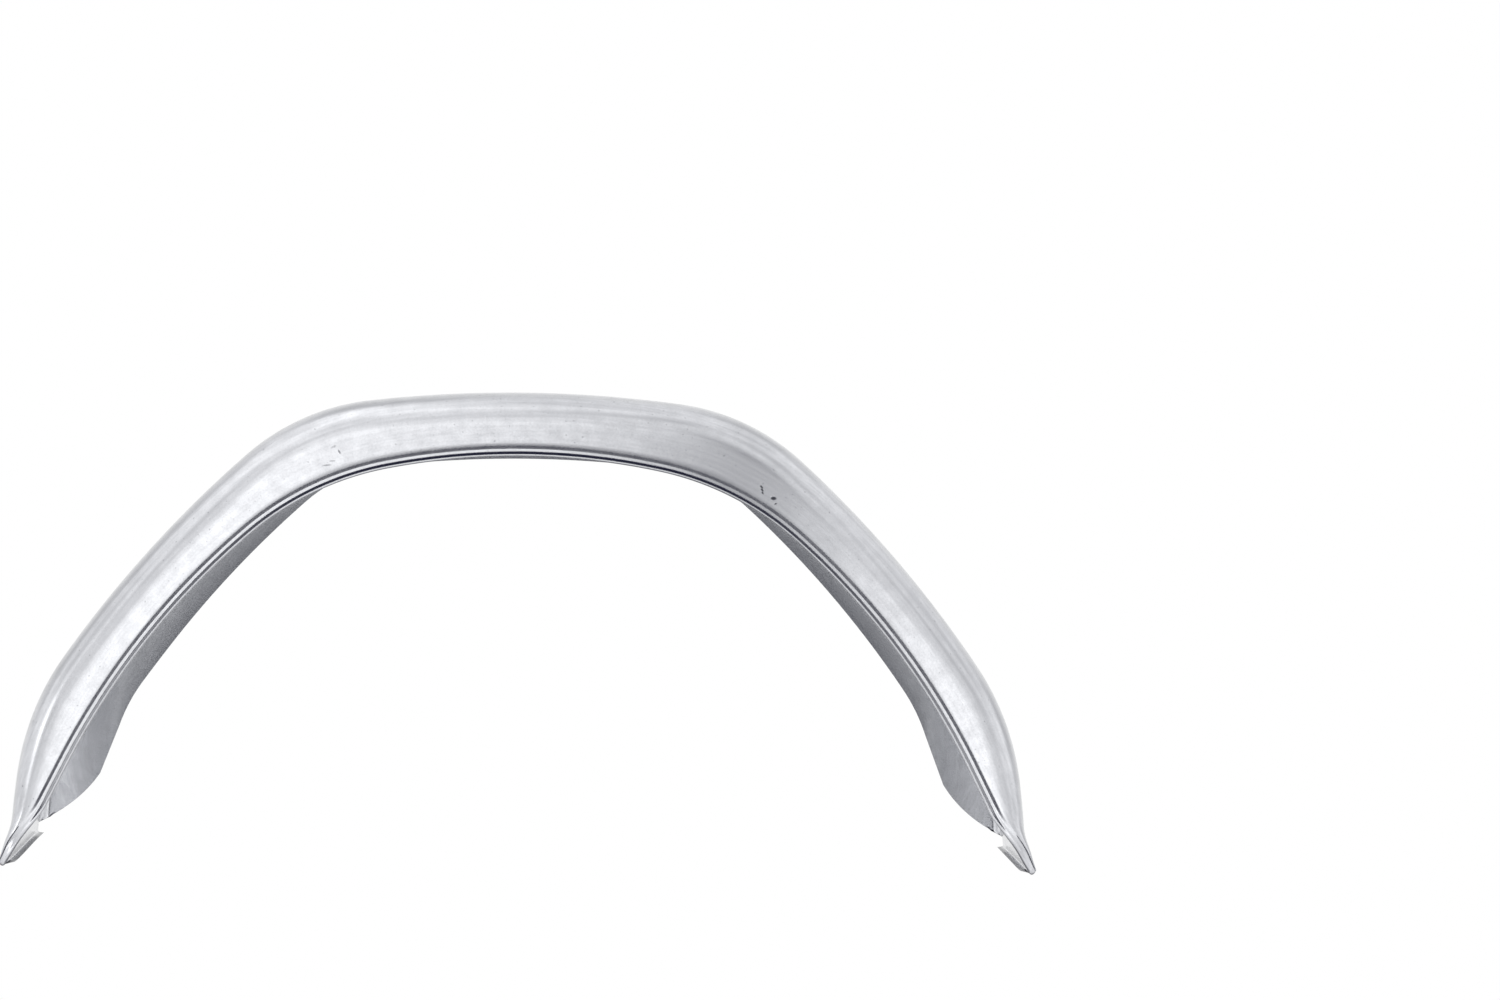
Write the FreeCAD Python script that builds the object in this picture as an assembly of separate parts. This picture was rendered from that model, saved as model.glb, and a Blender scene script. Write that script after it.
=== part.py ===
import FreeCAD, Part
import math
import os

# Trailer mudguard pressed from one piece of galvanised steel sheet.
# X runs along the guard, Y across it from the outer side to the chassis side, Z is up.
# The origin lies on the ground, under the middle of the guard both ways.
# Lengths are in millimetres, angles in degrees.

# Sheet and overall width.
sheet = 1.2
width = 200.0

# Side outline of the crown: tangent arcs from the crest, then a straight end down to the ground.
crest_radius = 909.0
crest_sweep = 7.1
upper_bend_radius = 163.0
upper_bend_sweep = 34.9
slope_radius = 842.0
slope_sweep = 13.4
lower_bend_radius = 188.0
lower_bend_sweep = 29.2
straight_end = 60.0

# Side outline of the groove above the rim bead: tangent arcs, then a straight before the end.
wall_at_crest = 39.4
rim_crest_radius = 500.0
rim_crest_sweep = 11.4
rim_bend_radius = 220.0
rim_bend_sweep = 29.7
rim_slope_radius = 548.0
rim_straight = 23.0

# The drawn shoulder is an arc from the crown down to the outer wall. Its radius leaves this much
# flat between it and the groove where the straight end starts, and all the way down the end.
shortest_flat = 1.5

# The outer wall runs out to a pointed end, where it leans outward.
wall_at_tip = 2.0
tip_lean = 40.0

# Rim bead: a half round pressed outward, with a narrow raw edge below it.
bead_chord = 5.0
bead_rise = 1.5
rim_lip = 1.5

# Chassis-side wall. Each end flap is trimmed straight down to a corner, then along an arc.
inner_wall_depth = 50.0
inner_bend_radius = 8.0
flap_top = 86.0
flap_corner_in = 47.6
flap_corner_up = 48.0
flap_radius = 98.0
flap_foot = 8.5

# Narrow lip turned inward along each end edge, which the guard stands on.
end_lip_width = 5.5
end_bend_radius = 2.5
tip_radius = 3.2

# How far a cutting shape reaches past the sheet, and the number of drawn steps in each straight end.
cut_margin = 10.0
end_steps = 5

# Handles of the cubic curve that draws the half-round bead.
BEAD_SPREAD = 0.30
BEAD_HANDLE = 4.0 / 3.0

Y_AXIS = FreeCAD.Vector(0, 1, 0)


def outward(heading):
    """Direction out of an outline where it dips at this heading below the horizontal."""
    return FreeCAD.Vector(math.sin(heading), 0, math.cos(heading))


def onward(heading):
    """Direction along an outline at this heading, away from the crest."""
    return FreeCAD.Vector(math.cos(heading), 0, -math.sin(heading))


class Outline:
    """Symmetrical chain of tangent arcs, given from the crest outward by radius and sweep."""

    def __init__(self, top, segments):
        self.top = top
        self.heading = 0.0
        self.point = FreeCAD.Vector(0, 0, top)
        right = []
        for radius, sweep in segments:
            centre = self.point - outward(self.heading) * radius
            self.heading += sweep
            self.point = centre + outward(self.heading) * radius
            right.append((centre, sweep))
        left = [(FreeCAD.Vector(-centre.x, 0, centre.z), sweep) for centre, sweep in reversed(right[1:])]
        crest_centre, crest_turn = right[0]
        self.arcs = left + [(crest_centre, 2 * crest_turn)] + right[1:]


def crown_outline():
    """Outline of the crown, with its crest as high as the arcs and the straight ends need."""
    segments = [
        (crest_radius, math.radians(crest_sweep)),
        (upper_bend_radius, math.radians(upper_bend_sweep)),
        (slope_radius, math.radians(slope_sweep)),
        (lower_bend_radius, math.radians(lower_bend_sweep)),
    ]
    hung = Outline(0.0, segments)
    return Outline(straight_end * math.sin(hung.heading) - hung.point.z, segments)


def groove_outline(crown):
    """Outline of the groove. Its straight ends level with the start of the crown's straight end."""
    top = crown.top - wall_at_crest
    segments = [
        (rim_crest_radius, math.radians(rim_crest_sweep)),
        (rim_bend_radius, math.radians(rim_bend_sweep)),
    ]
    start = Outline(top, segments)
    centre = start.point - outward(start.heading) * rim_slope_radius
    lag = (centre - crown.point).dot(onward(crown.heading))
    reach = math.hypot(rim_slope_radius, rim_straight)
    spread = math.asin(lag / reach) + math.atan2(rim_straight, rim_slope_radius)
    segments.append((rim_slope_radius, crown.heading - spread - start.heading))
    return Outline(top, segments)


class Section:
    """Cross-section of the sheet, drawn in (across, depth) below a point of an outline."""

    def __init__(self, point, heading, side, height=0.0, lean=math.pi / 2, stretch=1.0):
        self.heading = heading
        self.origin = FreeCAD.Vector(side * point.x, -width / 2, point.z)
        self.inward = FreeCAD.Vector(-side * math.sin(heading), 0, -math.cos(heading))
        self.height = height
        self.lean = lean
        self.stretch = stretch

    def at(self, across, depth):
        """Point of the section in space."""
        return self.origin + FreeCAD.Vector(0, across, 0) + self.inward * depth

    def rim(self, along, out):
        """Point of the outer wall, along the sheet from the groove and out from its face."""
        rise = math.sin(self.lean)
        lean_out = math.cos(self.lean)
        along = along * self.stretch
        reach = bead_rise * rise + (bead_chord + rim_lip) * self.stretch * lean_out
        return self.at(reach - along * lean_out - out * rise, self.height + along * rise - out * lean_out)

    def shoulder(self, inset):
        """Arc from the outer wall to the crown, at a depth below the outer face."""
        foot = self.rim(-shortest_flat, -inset)
        drop = (foot - self.origin).dot(self.inward) - inset
        handle = drop / math.sin(self.lean)
        upright = FreeCAD.Vector(0, math.cos(self.lean), 0) - self.inward * math.sin(self.lean)
        corner = foot + upright * handle
        return [foot, corner, corner + FreeCAD.Vector(0, handle, 0)]

    def crown(self, inset):
        """Line from the shoulder to the chassis-side bend, at a depth below the outer face."""
        return [self.shoulder(inset)[-1], self.at(width - inner_bend_radius, inset)]


def end_sections(crown, groove, side):
    """Sections down one straight end, from the last arc of the crown to the end bend."""
    length = straight_end - end_bend_radius * (1.0 + math.cos(crown.heading)) / math.sin(crown.heading)
    meeting = groove.point + onward(groove.heading) * rim_straight
    start = (crown.point - meeting).dot(outward(crown.heading))
    slope = math.tan(crown.heading - groove.heading)
    curve = (start - slope * length - wall_at_tip) / length ** 2
    sections = []
    for step in range(end_steps + 1):
        share = step / end_steps
        run = share * length
        height = start - slope * run - curve * run ** 2
        lean = math.radians(90.0 - (90.0 - tip_lean) * share ** 2)
        stretch = math.hypot(1.0, slope + 2 * curve * run)
        point = crown.point + onward(crown.heading) * run
        sections.append(Section(point, crown.heading, side, height, lean, stretch))
    return sections


def arc_weight(poles):
    """Weight of the middle control point of a circular arc."""
    return math.cos((poles[1] - poles[0]).getAngle(poles[2] - poles[1]) / 2)


def edge(poles):
    """Edge with the given control points: two draw a line, three a circular arc, four a cubic."""
    if len(poles) == 2:
        return Part.makeLine(*poles)
    if len(poles) == 3:
        weight = arc_weight(poles)
        middle = (poles[0] + poles[1] * (2 * weight) + poles[2]) * (0.5 / (1 + weight))
        return Part.Arc(poles[0], middle, poles[2]).toShape()
    shape = Part.BezierCurve()
    shape.setPoles(poles)
    return shape.toShape()


def bead_curve(section, start, end, face):
    """Half-round pressing between two places along the rim, at a depth below the outer face."""
    spread = (end - start) * BEAD_SPREAD
    peak = face + bead_rise * BEAD_HANDLE
    return [section.rim(start, face), section.rim(start + spread, peak),
            section.rim(end - spread, peak), section.rim(end, face)]


def rim_curves(section):
    """Bead and raw edge, from the groove on the inner face round to the groove on the outer face."""
    edge_place = bead_chord + rim_lip
    inner_bead = bead_curve(section, sheet, bead_chord - sheet, -sheet)
    outer_bead = bead_curve(section, bead_chord, 0, 0)
    inner_edge = section.rim(edge_place, -sheet)
    outer_edge = section.rim(edge_place, 0)
    return [
        inner_bead,
        [inner_bead[-1], inner_edge],
        [inner_edge, outer_edge],
        [outer_edge, outer_bead[0]],
        outer_bead,
    ]


def wall_curves(section):
    """Outer wall with its rim, from the shoulder on the inner face to the shoulder on the outer face."""
    rim = rim_curves(section)
    inner_foot = section.rim(-shortest_flat, -sheet)
    outer_foot = section.rim(-shortest_flat, 0)
    return [[inner_foot, rim[0][0]]] + rim + [[rim[-1][-1], outer_foot]]


def bend_edge(section, radius):
    """Edge of the chassis-side bend."""
    middle = section.at(width - inner_bend_radius, inner_bend_radius)
    out = Y_AXIS * radius
    up = section.inward * -radius
    return Part.Arc(middle + up, middle + (out + up) * math.sqrt(0.5), middle + out).toShape()


def chassis_edges(section):
    """Bend and chassis-side wall, from the crown's outer face round to its inner face."""
    inner_face = width - sheet
    corners = [section.at(width, inner_bend_radius), section.at(width, inner_wall_depth),
               section.at(inner_face, inner_wall_depth), section.at(inner_face, inner_bend_radius)]
    walls = [Part.makeLine(*ends) for ends in zip(corners, corners[1:])]
    return [bend_edge(section, inner_bend_radius)] + walls + [bend_edge(section, inner_bend_radius - sheet)]


def crown_curves(section):
    """Shoulder and crown on both faces."""
    return [section.shoulder(0), section.crown(0), section.shoulder(sheet), section.crown(sheet)]


def carried_round(edges, outline):
    """Faces left by edges carried round the arcs of an outline, from its right end to its left end."""
    faces = []
    for centre, sweep in reversed(outline.arcs):
        turn = -math.degrees(sweep)
        faces += [item.revolve(centre, Y_AXIS, turn) for item in edges]
        edges = [item.copy() for item in edges]
        for item in edges:
            item.rotate(centre, Y_AXIS, turn)
    return faces


def track(points, places):
    """Smooth curve through points at the stated places."""
    curve = Part.BSplineCurve()
    curve.interpolate(Points=points, Parameters=places)
    return curve


def skin(sections, curves_of):
    """Faces through the matching curves of several sections."""
    places = [(section.origin - sections[0].origin).Length for section in sections]
    faces = []
    for curves in zip(*[curves_of(section) for section in sections]):
        degree = len(curves[0]) - 1
        middle = [arc_weight(poles) if degree == 2 else 1.0 for poles in curves]
        columns, weights = [], []
        for place, points in enumerate(zip(*curves)):
            scales = middle if place == 1 else [1.0] * len(points)
            poles = track([point * scale for point, scale in zip(points, scales)], places)
            scale = track([FreeCAD.Vector(scale, place, 0) for place, scale in zip(places, scales)], places)
            weights.append([item.x for item in scale.getPoles()])
            columns.append([pole * (1 / weight) for pole, weight in zip(poles.getPoles(), weights[-1])])
        surface = Part.BSplineSurface()
        surface.buildFromPolesMultsKnots(columns, [degree + 1, degree + 1], poles.getMultiplicities(),
                                         [0.0, 1.0], poles.getKnots(), False, False, degree, poles.Degree,
                                         weights)
        faces.append(surface.toShape())
    return faces


def drawn_curves(section):
    """Curves of the section that change on the way to the pointed end."""
    return wall_curves(section) + crown_curves(section)


def closed_face(edges):
    return Part.Face(Part.Wire(Part.sortEdges(edges)[0]))


def wall_face(crown, groove, ends, rims, along, out):
    """Flat of the outer wall between the shoulder and a line along the rim, at a distance out."""
    edges = carried_round([Part.Vertex(ends[0][0].rim(-shortest_flat, out))], crown)
    edges += carried_round([Part.Vertex(rims[0].rim(along, out))], groove)
    for sections, rim in zip(ends, rims):
        foot, corner = sections[0].rim(-shortest_flat, out), sections[0].rim(along, out)
        edges += [edge([foot, corner]), edge([corner, rim.rim(along, out)])]
    return closed_face(edges)


def pressed_channel(crown, groove, ends):
    """The drawn sheet from end to end, before its ends are finished."""
    rims = [Section(groove.point, groove.heading, side) for side in (1, -1)]
    first = ends[0][0]
    faces = carried_round([edge(poles) for poles in crown_curves(first)] + chassis_edges(first), crown)
    faces += carried_round([edge(poles) for poles in rim_curves(rims[0])], groove)
    faces += [wall_face(crown, groove, ends, rims, 0, 0), wall_face(crown, groove, ends, rims, sheet, -sheet)]
    for sections, rim in zip(ends, rims):
        last = sections[-1]
        run = last.origin - sections[0].origin
        faces += skin([rim, sections[0]], rim_curves)
        faces += skin(sections, drawn_curves)
        faces += [item.extrude(run) for item in chassis_edges(sections[0])]
        faces.append(closed_face([edge(poles) for poles in drawn_curves(last)] + chassis_edges(last)))
    shell = Part.Shell(faces)
    shell.sewShape()
    return Part.Solid(shell)


def flap_trim(crown, side):
    """Material cut from the chassis-side wall below the edge of one end flap."""
    across = width / 2 - inner_bend_radius
    bend, _ = crown.arcs[-1]
    reach = math.sqrt((lower_bend_radius - inner_wall_depth) ** 2 - (flap_top - bend.z) ** 2)
    foot = crown.point + onward(crown.heading) * straight_end
    start = FreeCAD.Vector(bend.x + reach, across, flap_top)
    corner = FreeCAD.Vector(foot.x - flap_corner_in, across, flap_corner_up)
    end = FreeCAD.Vector(foot.x + sheet, across, flap_foot)
    half = (end - corner).Length / 2
    rise = flap_radius - math.sqrt(flap_radius ** 2 - half ** 2)
    sag = (end - corner).cross(Y_AXIS).normalize() * -rise
    low_end = FreeCAD.Vector(end.x, across, -cut_margin)
    low_start = FreeCAD.Vector(start.x, across, -cut_margin)
    edges = [Part.makeLine(start, corner), Part.Arc(corner, (corner + end) / 2 + sag, end).toShape()]
    edges += [Part.makeLine(end, low_end), Part.makeLine(low_end, low_start), Part.makeLine(low_start, start)]
    block = closed_face(edges).extrude(Y_AXIS * (inner_bend_radius + cut_margin))
    if side < 0:
        block = block.mirror(FreeCAD.Vector(0, 0, 0), FreeCAD.Vector(1, 0, 0))
    return block


def end_lip(section, side):
    """Bend and flat lip along one end edge, beside the rim and clear of the chassis-side bend."""
    near = section.crown(0)[0].y + width / 2
    far = width - inner_bend_radius
    corners = [section.at(near, 0), section.at(far, 0), section.at(far, sheet), section.at(near, sheet)]
    face = Part.Face(Part.makePolygon(corners + corners[:1]))
    centre = section.at(0, end_bend_radius)
    turn = math.degrees(math.pi - section.heading)
    axis = Y_AXIS * side
    bend = face.revolve(centre, axis, turn)
    face.rotate(centre, axis, turn)
    flat = face.extrude(FreeCAD.Vector(-side * (end_lip_width - end_bend_radius), 0, 0))
    return bend.fuse(flat)


def rim_tail(section, side):
    """End of the rim, carried on to the ground with a rounded tip."""
    curves = wall_curves(section)
    curves.append([curves[-1][-1], curves[0][0]])
    down = section.inward.cross(Y_AXIS * side)
    tail = closed_face([edge(poles) for poles in curves]).extrude(down * (2 * end_bend_radius))
    middle = section.at(0, tip_radius - bead_rise / 2)
    centre = FreeCAD.Vector(middle.x, middle.y - cut_margin, tip_radius)
    return tail.common(Part.makeCylinder(tip_radius, 3 * cut_margin, centre, Y_AXIS))


def mudguard():
    crown = crown_outline()
    groove = groove_outline(crown)
    ends = [end_sections(crown, groove, side) for side in (1, -1)]
    body = pressed_channel(crown, groove, ends)
    for side, sections in zip((1, -1), ends):
        body = body.cut(flap_trim(crown, side))
        body = body.fuse(end_lip(sections[-1], side))
        body = body.fuse(rim_tail(sections[-1], side))
    return body.removeSplitter()


os.makedirs("parts", exist_ok=True)
shape = mudguard()
shape.exportStep("parts/mudguard.step")
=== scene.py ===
import math

import bmesh
import bpy
from mathutils import Matrix, Vector


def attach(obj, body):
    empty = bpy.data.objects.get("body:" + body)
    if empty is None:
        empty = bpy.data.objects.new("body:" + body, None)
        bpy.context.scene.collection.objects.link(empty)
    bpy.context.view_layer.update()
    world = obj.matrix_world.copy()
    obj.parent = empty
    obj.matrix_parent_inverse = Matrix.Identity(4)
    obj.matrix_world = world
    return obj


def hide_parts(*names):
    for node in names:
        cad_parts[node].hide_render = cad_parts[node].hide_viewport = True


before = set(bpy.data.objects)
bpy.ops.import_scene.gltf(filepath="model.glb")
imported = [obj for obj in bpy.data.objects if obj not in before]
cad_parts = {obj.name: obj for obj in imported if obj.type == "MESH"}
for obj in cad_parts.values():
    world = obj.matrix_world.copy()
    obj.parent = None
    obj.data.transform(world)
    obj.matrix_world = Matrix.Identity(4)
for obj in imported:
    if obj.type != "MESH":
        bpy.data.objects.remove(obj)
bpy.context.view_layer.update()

# Side outlines of the pressed sheet.
# The crown and the groove above the rim bead are chains of tangent arcs that start at the crest.
# The crown ends in a straight down to the ground. Lengths in this section are in millimetres.
SHEET, WIDTH = 1.2, 200.0
CROWN_ARCS = [(909.0, 7.1), (163.0, 34.9), (842.0, 13.4), (188.0, 29.2)]
STRAIGHT_END = 60.0
WALL_AT_CREST = 39.4
RIM_ARCS = [(500.0, 11.4), (220.0, 29.7)]
RIM_SLOPE_RADIUS, RIM_STRAIGHT = 548.0, 23.0
END_BEND = 2.5
ROUNDING = 1e-9


def out_of(heading):
    """Direction out of an outline that dips at this heading, in (x, z)."""
    return Vector((math.sin(heading), math.cos(heading)))


def along(heading):
    """Direction down an outline at this heading, in (x, z)."""
    return Vector((math.cos(heading), -math.sin(heading)))


class Outline:
    """One half of a chain of tangent arcs, from the crest outward."""

    def __init__(self, top, arcs):
        self.arcs, self.length, self.heading, self.point = [], 0.0, 0.0, Vector((0.0, top))
        for radius, degrees in arcs:
            centre = self.point - out_of(self.heading) * radius
            first, self.heading = self.heading, self.heading + math.radians(degrees)
            self.arcs.append((centre, radius, first, self.heading))
            self.length += radius * math.radians(degrees)
            self.point = centre + out_of(self.heading) * radius

    def place(self, station):
        """Point and heading at a distance along the outline from the crest."""
        for centre, radius, first, last in self.arcs:
            if station <= radius * (last - first):
                heading = first + station / radius
                return centre + out_of(heading) * radius, heading
            station -= radius * (last - first)
        return self.point + along(self.heading) * station, self.heading

    def depth_below(self, point, heading):
        """Depth of this outline below a point of another one, and its own heading there."""
        inward = -out_of(heading)
        for centre, radius, first, last in self.arcs:
            gap = point - centre
            half = gap.dot(inward)
            depth = -half - math.sqrt(half ** 2 - gap.dot(gap) + radius ** 2)
            hit = gap + inward * depth
            there = math.atan2(hit.x, hit.y)
            if there <= last + ROUNDING:
                return depth, there
        normal = out_of(self.heading)
        return (self.point - point).dot(normal) / inward.dot(normal), self.heading


hung = Outline(0.0, CROWN_ARCS)
crown = Outline(STRAIGHT_END * math.sin(hung.heading) - hung.point.y, CROWN_ARCS)
foot_point = crown.point + along(crown.heading) * STRAIGHT_END
crest = crown.arcs[0][0].y + crown.arcs[0][1]
partial = Outline(crest - WALL_AT_CREST, RIM_ARCS)
slope_centre = partial.point - out_of(partial.heading) * RIM_SLOPE_RADIUS
lag = (slope_centre - crown.point).dot(along(crown.heading))
slope_reach = math.hypot(RIM_SLOPE_RADIUS, RIM_STRAIGHT)
spread = math.asin(lag / slope_reach) + math.atan2(RIM_STRAIGHT, RIM_SLOPE_RADIUS)
last_sweep = math.degrees(crown.heading - spread - partial.heading)
groove = Outline(crest - WALL_AT_CREST, RIM_ARCS + [(RIM_SLOPE_RADIUS, last_sweep)])
meeting = groove.point + along(groove.heading) * RIM_STRAIGHT
wall_at_end = (crown.point - meeting).dot(out_of(crown.heading))
end_run = STRAIGHT_END - END_BEND * (1.0 + math.cos(crown.heading)) / math.sin(crown.heading)
length = crown.length + end_run


# Cross-section of the sheet.
# Drawn in (across, depth) square to the crown: rim, outer wall with a little draft, shoulder, crown,
# bend and chassis-side wall. Towards an end the outer wall leans and runs out, the rim lifts past the
# crown as a small ear, and a trimmed flap of the chassis-side wall is bent outward past a crease.
SHORTEST_FLAT, SHOULDER_BLEND, WALL_AT_TIP, TIP_LEAN, DRAFT = 1.5, 14.0, 2.0, 40.0, 8.0
BEAD_RISE, RIM_WIDTH = 1.5, 6.5
# A point of the rim's profile is (along the wall from the groove, out from its face).
RIM_PROFILE = [(6.5, -0.1), (5.8, -0.15), (4.9, -0.45), (3.0, 0.25), (0.9, -0.15), (-1.5, 0.0)]
RELIEF_FADE, RELIEF_AT_TIP = 34.0, 0.2
EAR_LIFT, EAR_FROM, EAR_FULL, EAR_WIDTH = 6.0, 12.0, 46.0, 9.0
WALL_PULL, CROWN_PULL = 1.5, 4.0
WALL_DEPTH, CHASSIS_BEND = 50.0, 8.0
FLAP_TOP, FLAP_CORNER, FLAP_RADIUS, FLAP_FOOT = 86.0, (47.6, 48.0), 98.0, 8.5
FLAP_TOE, FLAP_CREASE, TOE_REACH = 3.6, 6.0, 60.0
RIM_STEPS, WALL_STEPS, SHOULDER_STEPS, CROWN_STEPS, BEND_STEPS = 5, 6, 18, 20, 8
NO_LENGTH = 1e-6

end_slope = math.tan(crown.heading - groove.heading)
end_curve = (wall_at_end - end_slope * end_run - WALL_AT_TIP) / end_run ** 2

shoulder_depth = wall_at_end - SHORTEST_FLAT * math.hypot(1.0, end_slope)

bend_centre = crown.arcs[-1][0]
trim_reach = math.sqrt((CROWN_ARCS[-1][0] - WALL_DEPTH) ** 2 - (FLAP_TOP - bend_centre.y) ** 2)
trim_start = Vector((bend_centre.x + trim_reach, FLAP_TOP))
trim_corner = Vector((foot_point.x - FLAP_CORNER[0], FLAP_CORNER[1]))
trim_end = Vector((foot_point.x + SHEET, FLAP_FOOT))
trim_chord = trim_end - trim_corner
trim_back = math.sqrt(FLAP_RADIUS ** 2 - trim_chord.length_squared / 4.0)
trim_normal = Vector((-trim_chord.y, trim_chord.x)).normalized()
trim_centre = (trim_corner + trim_end) / 2.0 + trim_normal * trim_back


def station_of(point):
    """Distance along the crown of the section that passes through a point of an end flap."""
    centre, radius, first, last = crown.arcs[-1]
    heading = math.atan2(point.x - centre.x, point.y - centre.y)
    if heading <= last:
        return crown.length - radius * (last - heading)
    return crown.length + (point - crown.point).dot(along(crown.heading))


def flap_depth(place, heading):
    """Depth at which the end flap's trimmed edge crosses a section."""
    inward = -out_of(heading)
    edge = trim_corner - trim_start
    normal = Vector((-edge.y, edge.x))
    depth = (trim_start - place).dot(normal) / inward.dot(normal)
    if (place + inward * depth).y >= trim_corner.y:
        return depth
    gap = place - trim_centre
    half = gap.dot(inward)
    inside = half ** 2 - gap.dot(gap) + FLAP_RADIUS ** 2
    return max(0.0, -half + math.sqrt(inside)) if inside > 0.0 else 0.0


def cubic(poles, steps):
    """Points of a cubic curve, without its first one."""
    points = []
    for step in range(1, steps + 1):
        t = step / steps
        shares = ((1 - t) ** 3, 3 * t * (1 - t) ** 2, 3 * t * t * (1 - t), t ** 3)
        points.append(sum((pole * share for pole, share in zip(poles, shares)), Vector((0.0, 0.0))))
    return points


def line(start, end, steps):
    """Evenly spaced points from a start to an end, without the first one."""
    return [start.lerp(end, step / steps) for step in range(1, steps + 1)]


def ease(share):
    """Share from 0 to 1 with a soft start and end."""
    share = min(max(share, 0.0), 1.0)
    return share * share * (3.0 - 2.0 * share)


def smooth_least(first, second):
    """The lesser of two lengths, with a soft change from one to the other."""
    share = min(max(0.5 + (second - first) / (2.0 * SHOULDER_BLEND), 0.0), 1.0)
    return second + (first - second) * share - SHOULDER_BLEND * share * (1.0 - share)


class Section:
    """Outer and inner face of the sheet at a distance along the crown from the crest."""

    def __init__(self, station):
        self.place, self.heading = crown.place(station)
        self.station = station
        run = station - crown.length
        if run <= 0.0:
            self.height, heading = groove.depth_below(self.place, self.heading)
            self.stretch = 1.0 / math.cos(self.heading - heading)
            self.lean, self.ear = math.pi / 2.0, 0.0
        else:
            self.ear = ease((run - EAR_FROM) / (EAR_FULL - EAR_FROM))
            self.height = wall_at_end - end_slope * run - end_curve * run ** 2
            self.stretch = math.hypot(1.0, end_slope + 2.0 * end_curve * run)
            self.lean = math.radians(90.0 - (90.0 - TIP_LEAN) * (run / end_run) ** 2)
        self.relief = 1.0 - (1.0 - RELIEF_AT_TIP) * ease(run / RELIEF_FADE)
        self.shoulder_top = smooth_least(shoulder_depth, self.height - SHORTEST_FLAT * math.sin(self.lean))
        self.outer = self.face()
        self.inner = self.offset(self.outer)

    def rim(self, along_wall, out):
        """Point of the outer wall, along it from the groove and out from its face."""
        rise, level = math.sin(self.lean), math.cos(self.lean)
        along_wall *= self.stretch
        reach = BEAD_RISE * rise + RIM_WIDTH * self.stretch * level
        across = reach - along_wall * level - out * rise
        return Vector((across, self.height + along_wall * rise - out * level))

    def face(self):
        """Points of the outer face, from the raw edge of the rim to the chassis-side edge."""
        lift = Vector((0.0, -EAR_LIFT * self.ear))
        draft = math.radians(DRAFT) * math.sin(self.lean)
        foot = Vector((self.rim(-SHORTEST_FLAT, 0.0).x, self.shoulder_top))
        points = []
        for (first, out), (last, next_out) in zip(RIM_PROFILE, RIM_PROFILE[1:]):
            for step in range(RIM_STEPS):
                share = step / RIM_STEPS
                stands_out = (out + (next_out - out) * ease(share)) * self.relief
                points.append(self.rim(first + (last - first) * share, stands_out) + lift)
        wall_start = self.rim(RIM_PROFILE[-1][0], 0.0) + lift
        wall = max(wall_start.y - lift.y - foot.y, 0.0)
        foot.x += wall * math.tan(draft)
        lean = self.lean - draft
        up = Vector((math.cos(lean), -math.sin(lean)))
        radius = foot.y / (1.0 - math.cos(lean))
        top = Vector((foot.x + radius * math.sin(lean) + EAR_WIDTH * self.ear, 0.0))
        handle = radius * 4.0 / 3.0 * math.tan(lean / 4.0)
        foot = foot + lift
        leaving = foot + up * (handle + WALL_PULL * self.ear)
        arriving = top - Vector((handle + CROWN_PULL * self.ear, 0.0))
        crown_end = Vector((WIDTH - CHASSIS_BEND, 0.0))
        points.append(wall_start)
        points += line(wall_start, foot, WALL_STEPS) + cubic([foot, leaving, arriving, top], SHOULDER_STEPS)
        points += line(top, crown_end, CROWN_STEPS)
        return points + self.chassis(crown_end)

    def chassis(self, start):
        """Points over the chassis-side bend and down the wall, as far as the flap's trim."""
        limit = WALL_DEPTH
        if self.station > flap_from:
            limit = min(limit, flap_depth(self.place, self.heading))
        turn = math.acos(1.0 - min(limit, CHASSIS_BEND) / CHASSIS_BEND)
        points = []
        for step in range(1, BEND_STEPS + 1):
            angle = turn * step / BEND_STEPS
            points.append(start + Vector((math.sin(angle), 1.0 - math.cos(angle))) * CHASSIS_BEND)
        side = points[-1]
        return points + line(side, Vector((side.x, max(limit, side.y))), WALL_STEPS)

    def offset(self, outer):
        """Matching points of the inner face, one sheet thickness inside the outer ones."""
        points = []
        for k, spot in enumerate(outer):
            way = outer[min(k + 1, len(outer) - 1)] - outer[max(k - 1, 0)]
            if way.length < NO_LENGTH:
                way = outer[k - 1] - outer[k - 3]
            if way.length < NO_LENGTH:
                way = Vector((1.0, 0.0))
            way.normalize()
            points.append(spot + Vector((-way.y, way.x)) * SHEET)
        return points

    def at(self, flat, side):
        """Place in space of an (across, depth) point, on the right (1) or left (-1) half."""
        spot = self.place - out_of(self.heading) * flat.y
        beyond = max(spot.x - toe_from, 0.0)
        eased = beyond ** 2 / (2.0 * FLAP_CREASE) if beyond < FLAP_CREASE else beyond - FLAP_CREASE / 2.0
        toe = eased * math.tan(math.radians(FLAP_TOE)) * ease((flat.x - WIDTH + TOE_REACH) / TOE_REACH)
        return Vector((side * spot.x, flat.x - WIDTH / 2.0 + toe, spot.y))


flap_from = station_of(trim_start)
toe_from = trim_start.x
RIM_COLUMN = RIM_STEPS * (len(RIM_PROFILE) - 1) + WALL_STEPS
TOP_COLUMN = RIM_COLUMN + SHOULDER_STEPS
CROWN_COLUMN = TOP_COLUMN + CROWN_STEPS


# Mesh of the sheet.
# Rows of vertices every few millimetres along both faces, closed along the raw edges. Each end
# turns inward as a narrow lip, which runs out towards the rounded tip of the rim. The left end is
# bent up a few millimetres at its far corner.
LIP_WIDTH, LIP_RAMP, TIP_RADIUS = 4.5, 26.0, 2.8
ROW_STEP, LIP_STEPS = 2.2, 8
MERGE_WITHIN, SHARP_ANGLE = 0.02, 35.0
MM = 0.001
LEFT_LIFT, LIFT_FROM, LIFT_FULL = 4.5, 270.0, 350.0

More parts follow.
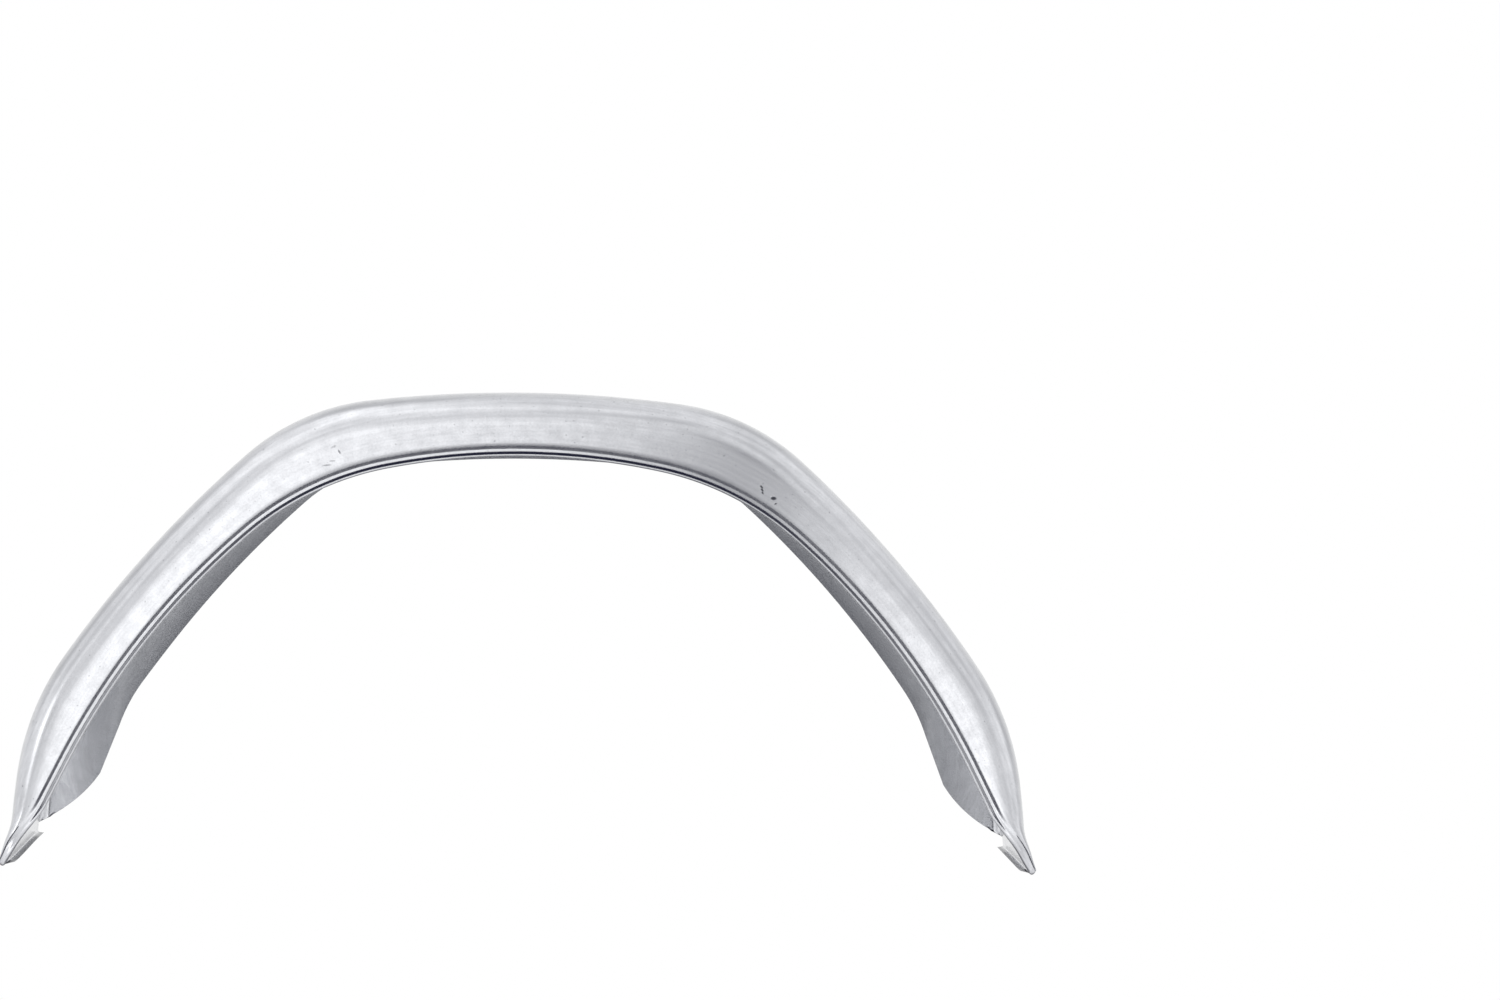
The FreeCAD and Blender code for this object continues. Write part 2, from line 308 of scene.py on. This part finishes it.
bm = bmesh.new()
uv_layer = bm.loops.layers.uv.new("sheet_mm")
on_sheet = {}


def vertex(position, station, girth):
    """Vertex at a place in space that remembers its place on the flat sheet."""
    made = bm.verts.new(position * MM)
    on_sheet[made] = (station * MM, girth * MM)
    return made


def patch(rows):
    """Quads between rows of vertices."""
    for first, second in zip(rows, rows[1:]):
        for i in range(len(first) - 1):
            ring = []
            for v in (first[i], first[i + 1], second[i + 1], second[i]):
                if v not in ring:
                    ring.append(v)
            bm.faces.new(ring)


def close(outer, inner):
    """Edges of the sheet along both sides of matching outer and inner rows."""
    for column in (0, -1):
        patch([[row[column] for row in outer], [row[column] for row in inner]])


marks = [0.0]
for centre, radius, first, last in crown.arcs:
    marks.append(marks[-1] + radius * (last - first))
marks = sorted(marks + [flap_from, station_of(trim_corner), length])
right = [0.0]
for first, last in zip(marks, marks[1:]):
    steps = max(1, round((last - first) / ROW_STEP))
    right += [first + (last - first) * step / steps for step in range(1, steps + 1)]
sections = [(Section(station), -1.0) for station in reversed(right[1:])]
sections += [(Section(station), 1.0) for station in right]

outer_rows, inner_rows = [], []
for section, side in sections:
    girth, outer, inner = 0.0, [], []
    for k, (out_spot, in_spot) in enumerate(zip(section.outer, section.inner)):
        girth += (out_spot - section.outer[k - 1]).length if k else 0.0
        outer.append(vertex(section.at(out_spot, side), side * section.station, girth))
        inner.append(vertex(section.at(in_spot, side), side * section.station, girth))
    outer_rows.append(outer)
    inner_rows.append(inner)
patch(outer_rows)
patch(inner_rows)
close(outer_rows, inner_rows)

final = Section(length)
tip_points = [final.at(flat, 1.0) for flat in final.outer[:RIM_COLUMN] + final.inner[:RIM_COLUMN]]
tip_middle = (min(p.x for p in tip_points) + max(p.x for p in tip_points)) / 2.0
for side, index in ((1.0, -1), (-1.0, 0)):
    ends = []
    for rows, flat, floor in ((outer_rows, final.outer, 0.0), (inner_rows, final.inner, SHEET)):
        base = rows[index]
        end = [base[:CROWN_COLUMN + 1]]
        for step in range(1, LIP_STEPS + 1):
            angle = math.pi / 2.0 * step / LIP_STEPS
            row = []
            for k in range(CROWN_COLUMN + 1):
                spot = final.place - out_of(final.heading) * flat[k].y
                share = ease((flat[k].x - flat[RIM_COLUMN].x) / LIP_RAMP)
                arch = math.sqrt(max(TIP_RADIUS ** 2 - (spot.x - tip_middle) ** 2, 0.0))
                ground = floor * share + (TIP_RADIUS - arch) * (1.0 - share)
                drop = max(spot.y - ground, 0.0) * math.sin(angle)
                inward = LIP_WIDTH * share * (1.0 - math.cos(angle))
                place = Vector((side * (spot.x - inward), final.at(flat[k], side).y, spot.y - drop))
                row.append(vertex(place, side * (length + step), on_sheet[base[k]][1] / MM))
            end.append(row)
        patch(end)
        ends.append(end)
    close(*ends)
    patch([ends[0][-1], ends[1][-1]])

for face in bm.faces:
    face.smooth = True
    for loop in face.loops:
        loop[uv_layer].uv = on_sheet[loop.vert]
for v in bm.verts:
    towards_end = ease((-v.co.x / MM - LIFT_FROM) / (LIFT_FULL - LIFT_FROM))
    v.co.z += LEFT_LIFT * MM * towards_end * ease(v.co.y / MM / WIDTH + 0.5)
bmesh.ops.remove_doubles(bm, verts=bm.verts, dist=MERGE_WITHIN * MM)
bmesh.ops.recalc_face_normals(bm, faces=bm.faces)
mesh = bpy.data.meshes.new("mudguard_sheet")
bm.to_mesh(mesh)
bm.free()
mesh.set_sharp_from_angle(angle=math.radians(SHARP_ANGLE))
guard = bpy.data.objects.new("mudguard_sheet", mesh)
scene = bpy.context.scene
scene.collection.objects.link(guard)
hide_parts("mudguard")
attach(guard, "root")


# Galvanised steel.
# Hot-dip galvanised sheet: semi-matt zinc, light grey and faintly clouded, with a fine grain, small
# dark specks and draw marks that run along the sheet. The grain is drawn coarser than the real one.
# The cut edge at the rim is duller, and painted shade darkens the folded end lips. A spread is (low, high,
# amount).
CLOUD_SIZE, GRAIN_SIZE, SPECK_SIZE, DRAW_MARK_SIZE = 11.11, 1.667, 2.632, 2.381
CLOUD_SPREAD, GRAIN_SPREAD = (0.3, 0.7, 0.09), (0.25, 0.75, 0.07)
SPECK_SPREAD, DRAW_MARK_SPREAD = (0.70, 0.78, 0.30), (0.35, 0.7, 0.07)
DRAW_STRETCH = 0.05
EDGE_FROM, EDGE_FULL, EDGE_TARNISH = 1.1, 0.3, 0.6
LIP_SHADE_FROM, LIP_SHADE_FULL, LIP_PAINTED_SHADE = 2.0, 6.0, 0.85
SMOOTHEST, ROUGHEST, GRAIN_DEPTH = 0.22, 0.26, 0.05
BRIGHT_ZINC, DULL_ZINC_AND_LIP_SHADE = "E3E4E6", "4A4B52"


def srgb(text):
    """Linear colour of a hex code."""
    parts = [int(text[i:i + 2], 16) / 255.0 for i in (0, 2, 4)]
    linear = [c / 12.92 if c <= 0.04045 else ((c + 0.055) / 1.055) ** 2.4 for c in parts]
    return (*linear, 1.0)


def node(tree, kind, settings=None, links=None, values=None):
    """Adds a shader node with its settings, its linked inputs and its plain input values."""
    made = tree.nodes.new(kind)
    for key, value in (settings or {}).items():
        setattr(made, key, value)
    for key, value in (values or {}).items():
        made.inputs[key].default_value = value
    for key, source in (links or {}).items():
        tree.links.new(source, made.inputs[key])
    return made


zinc = bpy.data.materials.new("galvanised_steel_semi_matt")
zinc.use_nodes = True
tree = zinc.node_tree
tree.nodes.clear()
coordinate = node(tree, "ShaderNodeUVMap", {"uv_map": "sheet_mm"}).outputs["UV"]
stretched = node(tree, "ShaderNodeMapping", None, {"Vector": coordinate},
                 {"Scale": (DRAW_STRETCH, 1.0, 1.0)}).outputs["Vector"]


def noise(size, detail, vector, spread):
    """Noise with features of this size, as a share of tarnish."""
    made = node(tree, "ShaderNodeTexNoise", None, {"Vector": vector},
                {"Scale": 1.0 / (size * MM), "Detail": detail})
    low, high, amount = spread
    return node(tree, "ShaderNodeMapRange", None, {"Value": made.outputs["Fac"]},
                {"From Min": low, "From Max": high, "To Min": 0.0, "To Max": amount}).outputs["Result"]


def added(*values):
    """Sum of several shader values."""
    total = values[0]
    for value in values[1:]:
        total = node(tree, "ShaderNodeMath", {"operation": "ADD"}, {0: total, 1: value}).outputs["Value"]
    return total


clouds = noise(CLOUD_SIZE, 2.0, coordinate, CLOUD_SPREAD)
grain = noise(GRAIN_SIZE, 2.0, coordinate, GRAIN_SPREAD)
specks = noise(SPECK_SIZE, 1.0, coordinate, SPECK_SPREAD)
draw_marks = noise(DRAW_MARK_SIZE, 1.0, stretched, DRAW_MARK_SPREAD)

place_on_sheet = node(tree, "ShaderNodeSeparateXYZ", None, {0: coordinate}).outputs
cut_edge = node(tree, "ShaderNodeMapRange", None, {"Value": place_on_sheet["Y"]},
                {"From Min": EDGE_FROM * MM, "From Max": EDGE_FULL * MM,
                 "To Min": 0.0, "To Max": EDGE_TARNISH}).outputs["Result"]
from_crest = node(tree, "ShaderNodeMath", {"operation": "ABSOLUTE"},
                  {0: place_on_sheet["X"]}).outputs["Value"]
# Painted shade: the folded end lips are darkened towards the dull colour, as if shaded in the fold.
lip_painted_shade = node(tree, "ShaderNodeMapRange", None, {"Value": from_crest},
             {"From Min": (length + LIP_SHADE_FROM) * MM, "From Max": (length + LIP_SHADE_FULL) * MM,
              "To Min": 0.0, "To Max": LIP_PAINTED_SHADE}).outputs["Result"]

# Scuffs.
# Old knocks on the outer wall: a nick with fine scratches on the left, and three short scratches
# beside a dark pit on the right. A mark is (station, girth, half length, half width, turn, depth).
SCUFFS = [(-143.5, 20.6, 2.0, 0.9, 70.0, 0.6), (-147.0, 25.5, 3.0, 0.8, -5.0, 0.3),
          (-158.0, 14.5, 4.5, 0.6, 12.0, 0.4), (-152.0, 16.0, 3.0, 0.6, 12.0, 0.35),
          (199.0, 17.2, 2.2, 0.65, 10.0, 0.9), (201.0, 15.6, 2.2, 0.65, 10.0, 0.9),
          (203.0, 14.0, 1.8, 0.6, 10.0, 0.8), (213.5, 15.0, 2.3, 1.5, -20.0, 0.9),
          (217.5, 12.5, 1.0, 0.8, 0.0, 0.7)]


def scuff(station, girth, half_length, half_width, turn, depth):
    """Share of tarnish of one elongated mark on the sheet."""
    shift = {1: (station * MM, girth * MM, 0.0)}
    offset = node(tree, "ShaderNodeVectorMath", {"operation": "SUBTRACT"}, {0: coordinate}, shift).outputs[0]
    turned = node(tree, "ShaderNodeVectorRotate", {"rotation_type": "Z_AXIS"}, {"Vector": offset},
                  {"Angle": math.radians(turn)}).outputs[0]
    sized = node(tree, "ShaderNodeVectorMath", {"operation": "MULTIPLY"}, {0: turned},
                 {1: (1.0 / (half_length * MM), 1.0 / (half_width * MM), 0.0)}).outputs[0]
    reach = node(tree, "ShaderNodeVectorMath", {"operation": "LENGTH"}, {0: sized}).outputs["Value"]
    return node(tree, "ShaderNodeMapRange", {"interpolation_type": "SMOOTHSTEP"}, {"Value": reach},
                {"From Min": 1.2, "From Max": 0.5, "To Min": 0.0, "To Max": depth}).outputs["Result"]


scuffs = added(*[scuff(*mark) for mark in SCUFFS])
# The sheet's colour: clouds, grain, specks, draw marks, the cut edge and scuffs, plus the painted shade in
# the end lips.
tarnish_and_painted_shade = node(tree, "ShaderNodeMix", {"data_type": "RGBA"},
               {0: added(clouds, grain, specks, draw_marks, cut_edge, lip_painted_shade, scuffs)},
               {6: srgb(BRIGHT_ZINC), 7: srgb(DULL_ZINC_AND_LIP_SHADE)}).outputs[2]
rough = node(tree, "ShaderNodeMapRange", None, {"Value": added(clouds, grain)},
             {"From Min": 0.03, "From Max": 0.13, "To Min": SMOOTHEST, "To Max": ROUGHEST}).outputs["Result"]
uneven = node(tree, "ShaderNodeBump", {"invert": True}, {"Height": added(grain, scuffs)},
              {"Strength": 1.0, "Distance": GRAIN_DEPTH * MM}).outputs["Normal"]
surface = node(tree, "ShaderNodeBsdfPrincipled", None,
               {"Base Color": tarnish_and_painted_shade, "Roughness": rough, "Normal": uneven}, {"Metallic": 1.0})
node(tree, "ShaderNodeOutputMaterial", None, {"Surface": surface.outputs["BSDF"]})
mesh.materials.append(zinc)


# Light and background.
# A white studio with soft lights all round the guard, placed by direction so that the metal mirrors
# them: degrees off the viewer's side, and degrees round from the right. A gap up on the right of the
# inner rings leaves a dark streak, and single softboxes brighten the ends, the flaps and the top.
# A ring is (degrees off, radius, degrees between its lights, strength).
LIGHT_RINGS = [(17.0, 5.0, 18, 0.6), (28.0, 6.5, 16, 0.45), (42.0, 9.0, 20, 0.45),
               (62.0, 13.0, 28, 0.5), (88.0, 16.0, 30, 0.6), (120.0, 20.0, 45, 0.55)]
RING_FROM, RING_TO = -30, 210
GAP_FROM, GAP_TO, GAP_WITHIN = 40, 75, 35.0
# A softbox is (degrees off, degrees round, radius, strength).
RIGHT_BOX = (18.0, 10, 7.0, 0.3)
LEFT_BOX = (18.0, 155, 7.0, 0.2)
TOP_BOX = (75.0, 115, 20.0, 0.4)
GLINT_BOX = (70.5, 165, 3.5, 2.5)
RIGHT_FLAP_BOX = (13.5, -22, 3.5, 0.8)
LEFT_FLAP_BOX = (13.5, 200, 3.5, 0.5)
BACKDROP_RADIUS = 38.0
SOFT_EDGE, FULL_CORE = 1.8, 0.35
WHITE, DUSK = "FFFFFF", "181B33"

world = bpy.data.worlds.new("studio")
scene.world = world
world.use_nodes = True
tree = world.node_tree
tree.nodes.clear()
looking = node(tree, "ShaderNodeTexCoord").outputs["Generated"]


def soft_spot(direction, radius, strength):
    """Strength of a round light with soft edges, by the direction looked in."""
    facing = node(tree, "ShaderNodeVectorMath", {"operation": "DOT_PRODUCT"}, {0: looking}, {1: direction})
    edge = math.cos(math.radians(SOFT_EDGE * radius))
    core = math.cos(math.radians(FULL_CORE * radius))
    spot = node(tree, "ShaderNodeMapRange", {"interpolation_type": "SMOOTHSTEP"},
                {"Value": facing.outputs["Value"]},
                {"From Min": edge, "From Max": core, "To Min": 0.0, "To Max": strength})
    return spot.outputs["Result"]


behind = soft_spot((0.0, 1.0, 0.0), BACKDROP_RADIUS, 1.0)
boxes = [RIGHT_BOX, LEFT_BOX, TOP_BOX, GLINT_BOX, RIGHT_FLAP_BOX, LEFT_FLAP_BOX]
for off, radius, step, strength in LIGHT_RINGS:
    for way in range(RING_FROM, RING_TO + 1, step):
        if off > GAP_WITHIN or not GAP_FROM < way < GAP_TO:
            boxes.append((off, way, radius, strength))
spots = []
for off, way, radius, strength in boxes:
    away, turned = math.radians(off), math.radians(way)
    direction = (math.sin(away) * math.cos(turned), -math.cos(away), math.sin(away) * math.sin(turned))
    spots.append(soft_spot(direction, radius, strength))
total = spots[0]
for spot in spots[1:]:
    total = node(tree, "ShaderNodeMath", {"operation": "ADD"}, {0: total, 1: spot}).outputs["Value"]
rays = node(tree, "ShaderNodeLightPath").outputs
mirrored = node(tree, "ShaderNodeMath", {"operation": "ADD"},
                {0: rays["Is Glossy Ray"], 1: rays["Is Transmission Ray"]}).outputs["Value"]
white_share = node(tree, "ShaderNodeMath", {"operation": "MULTIPLY_ADD", "use_clamp": True},
                   {0: mirrored, 1: behind, 2: rays["Is Camera Ray"]}).outputs["Value"]
lights = node(tree, "ShaderNodeBackground", None, {"Strength": total}, {"Color": srgb(WHITE)})
dusk = node(tree, "ShaderNodeBackground", values={"Color": srgb(DUSK), "Strength": 1.0})
studio = node(tree, "ShaderNodeAddShader", None, {0: lights.outputs[0], 1: dusk.outputs[0]})
white = node(tree, "ShaderNodeBackground", values={"Color": srgb(WHITE), "Strength": 1.0})
shown = node(tree, "ShaderNodeMixShader", None, {0: white_share, 1: studio.outputs[0], 2: white.outputs[0]})
node(tree, "ShaderNodeOutputWorld", links={"Surface": shown.outputs["Shader"]})


# Camera.
# A long lens a little below the crest, turned slightly to the right.
LENS, SENSOR = 108.67, 36.0
CAMERA_PLACE = (0.0361, -3.3556, 0.3370)
YAW, PITCH, ROLL = 2.227, -1.20, 0.733
yaw, pitch, roll = math.radians(YAW), math.radians(PITCH), math.radians(ROLL)
forward = Vector((math.sin(yaw) * math.cos(pitch), math.cos(yaw) * math.cos(pitch), math.sin(pitch)))
level = Vector((math.cos(yaw), -math.sin(yaw), 0.0))
upright = level.cross(forward)
across = level * math.cos(roll) + upright * math.sin(roll)
above = upright * math.cos(roll) - level * math.sin(roll)
camera = bpy.data.objects.new("camera", bpy.data.cameras.new("camera"))
camera.data.sensor_width = SENSOR
camera.data.lens = LENS
camera.location = CAMERA_PLACE
camera.rotation_mode = "QUATERNION"
camera.rotation_quaternion = Matrix((across, above, -forward)).transposed().to_quaternion()
scene.collection.objects.link(camera)
scene.camera = camera
scene.view_settings.view_transform = "Standard"
